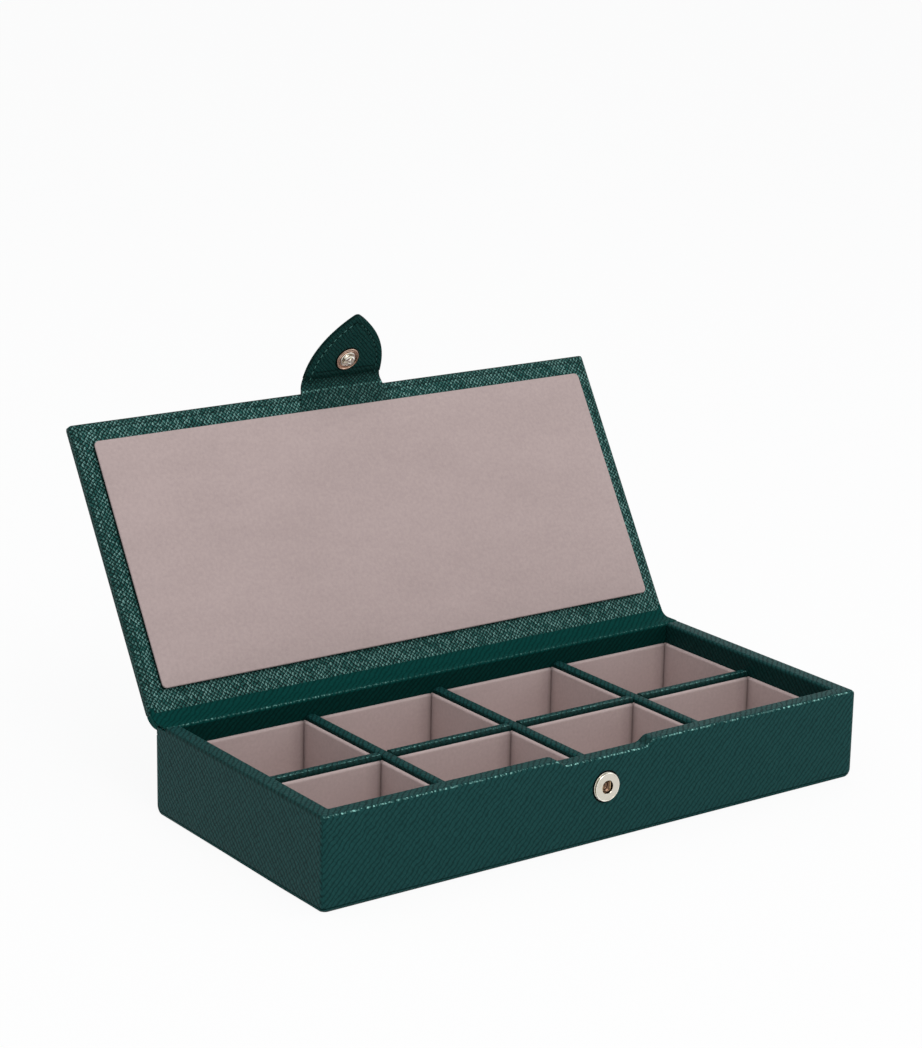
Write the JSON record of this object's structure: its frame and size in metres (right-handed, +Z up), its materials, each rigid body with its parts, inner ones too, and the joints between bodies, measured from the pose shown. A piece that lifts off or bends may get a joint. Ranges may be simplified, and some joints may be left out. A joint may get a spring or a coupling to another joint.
{
  "type": "cufflink box",
  "caption": "Shallow leather-covered box with suede-lined compartments, a hinged padded lid standing open and a press-stud tab.",
  "frame": {"origin": "centre of the case's underside, which rests on a table", "axes": "+X to the right along the case's long side as seen from the front, +Y from the press-stud front to the hinge, +Z up"},
  "size_m": [0.215, 0.1582, 0.1467],
  "materials": {
    "grained_leather": "dark green leather with a fine cross-hatched grain, satin",
    "smooth_leather": "dark green smooth leather, matt",
    "suede": "pale pinkish grey suede, matt with a short nap",
    "board": "plain grey board, hidden",
    "socket_metal": "pale champagne plating, polished",
    "spring_wire": "bright phosphor bronze wire",
    "stud_metal": "copper-rose plating, polished"
  },
  "bodies": {
    "case": {"floor_board": "board", "front_wall_board": "board", "back_wall_board": "board", "left_wall_board": "board", "right_wall_board": "board", "case_leather": "grained_leather", "base_panel": "grained_leather", "long_divider": "grained_leather", "cross_divider_1": "grained_leather", "cross_divider_2": "grained_leather", "cross_divider_3": "grained_leather", "lining_front_1": "suede", "lining_front_2": "suede", "lining_front_3": "suede", "lining_front_4": "suede", "lining_rear_1": "suede", "lining_rear_2": "suede", "lining_rear_3": "suede", "lining_rear_4": "suede", "floor_pad_front_1": "suede", "floor_pad_front_2": "suede", "floor_pad_front_3": "suede", "floor_pad_front_4": "suede", "floor_pad_rear_1": "suede", "floor_pad_rear_2": "suede", "floor_pad_rear_3": "suede", "floor_pad_rear_4": "suede", "socket_ring": "socket_metal", "socket_spring": "spring_wire", "socket_rivet": "socket_metal", "hinge_strip": "smooth_leather", "hinge_spine": "grained_leather"},
    "lid": {"lid_board": "board", "lid_leather": "grained_leather", "lid_infill": "board", "pad_card": "board", "lid_pad": "suede", "tab_neck": "grained_leather"},
    "tab": {"tab_outer_ply": "grained_leather", "tab_inner_ply": "grained_leather", "snap_stud": "stud_metal", "stud_rivet": "stud_metal"}
  },
  "joints": [
    {"name": "lid_hinge", "type": "hinge", "parent": "case", "child": "lid", "pos_m": [0, 0.0517, 0.0313], "axis": [1, 0, 0], "range_deg": [0, 121.3], "deforming": ["hinge_strip", "hinge_spine"]},
    {"name": "tab_fold", "type": "hinge", "parent": "lid", "child": "tab", "pos_m": [0, 0.10331, 0.11745], "axis": [1, 0, 0], "range_deg": [-56, 34], "stiffness_Nm_per_rad": 0.02, "deforming": ["tab_neck"]}
  ]
}
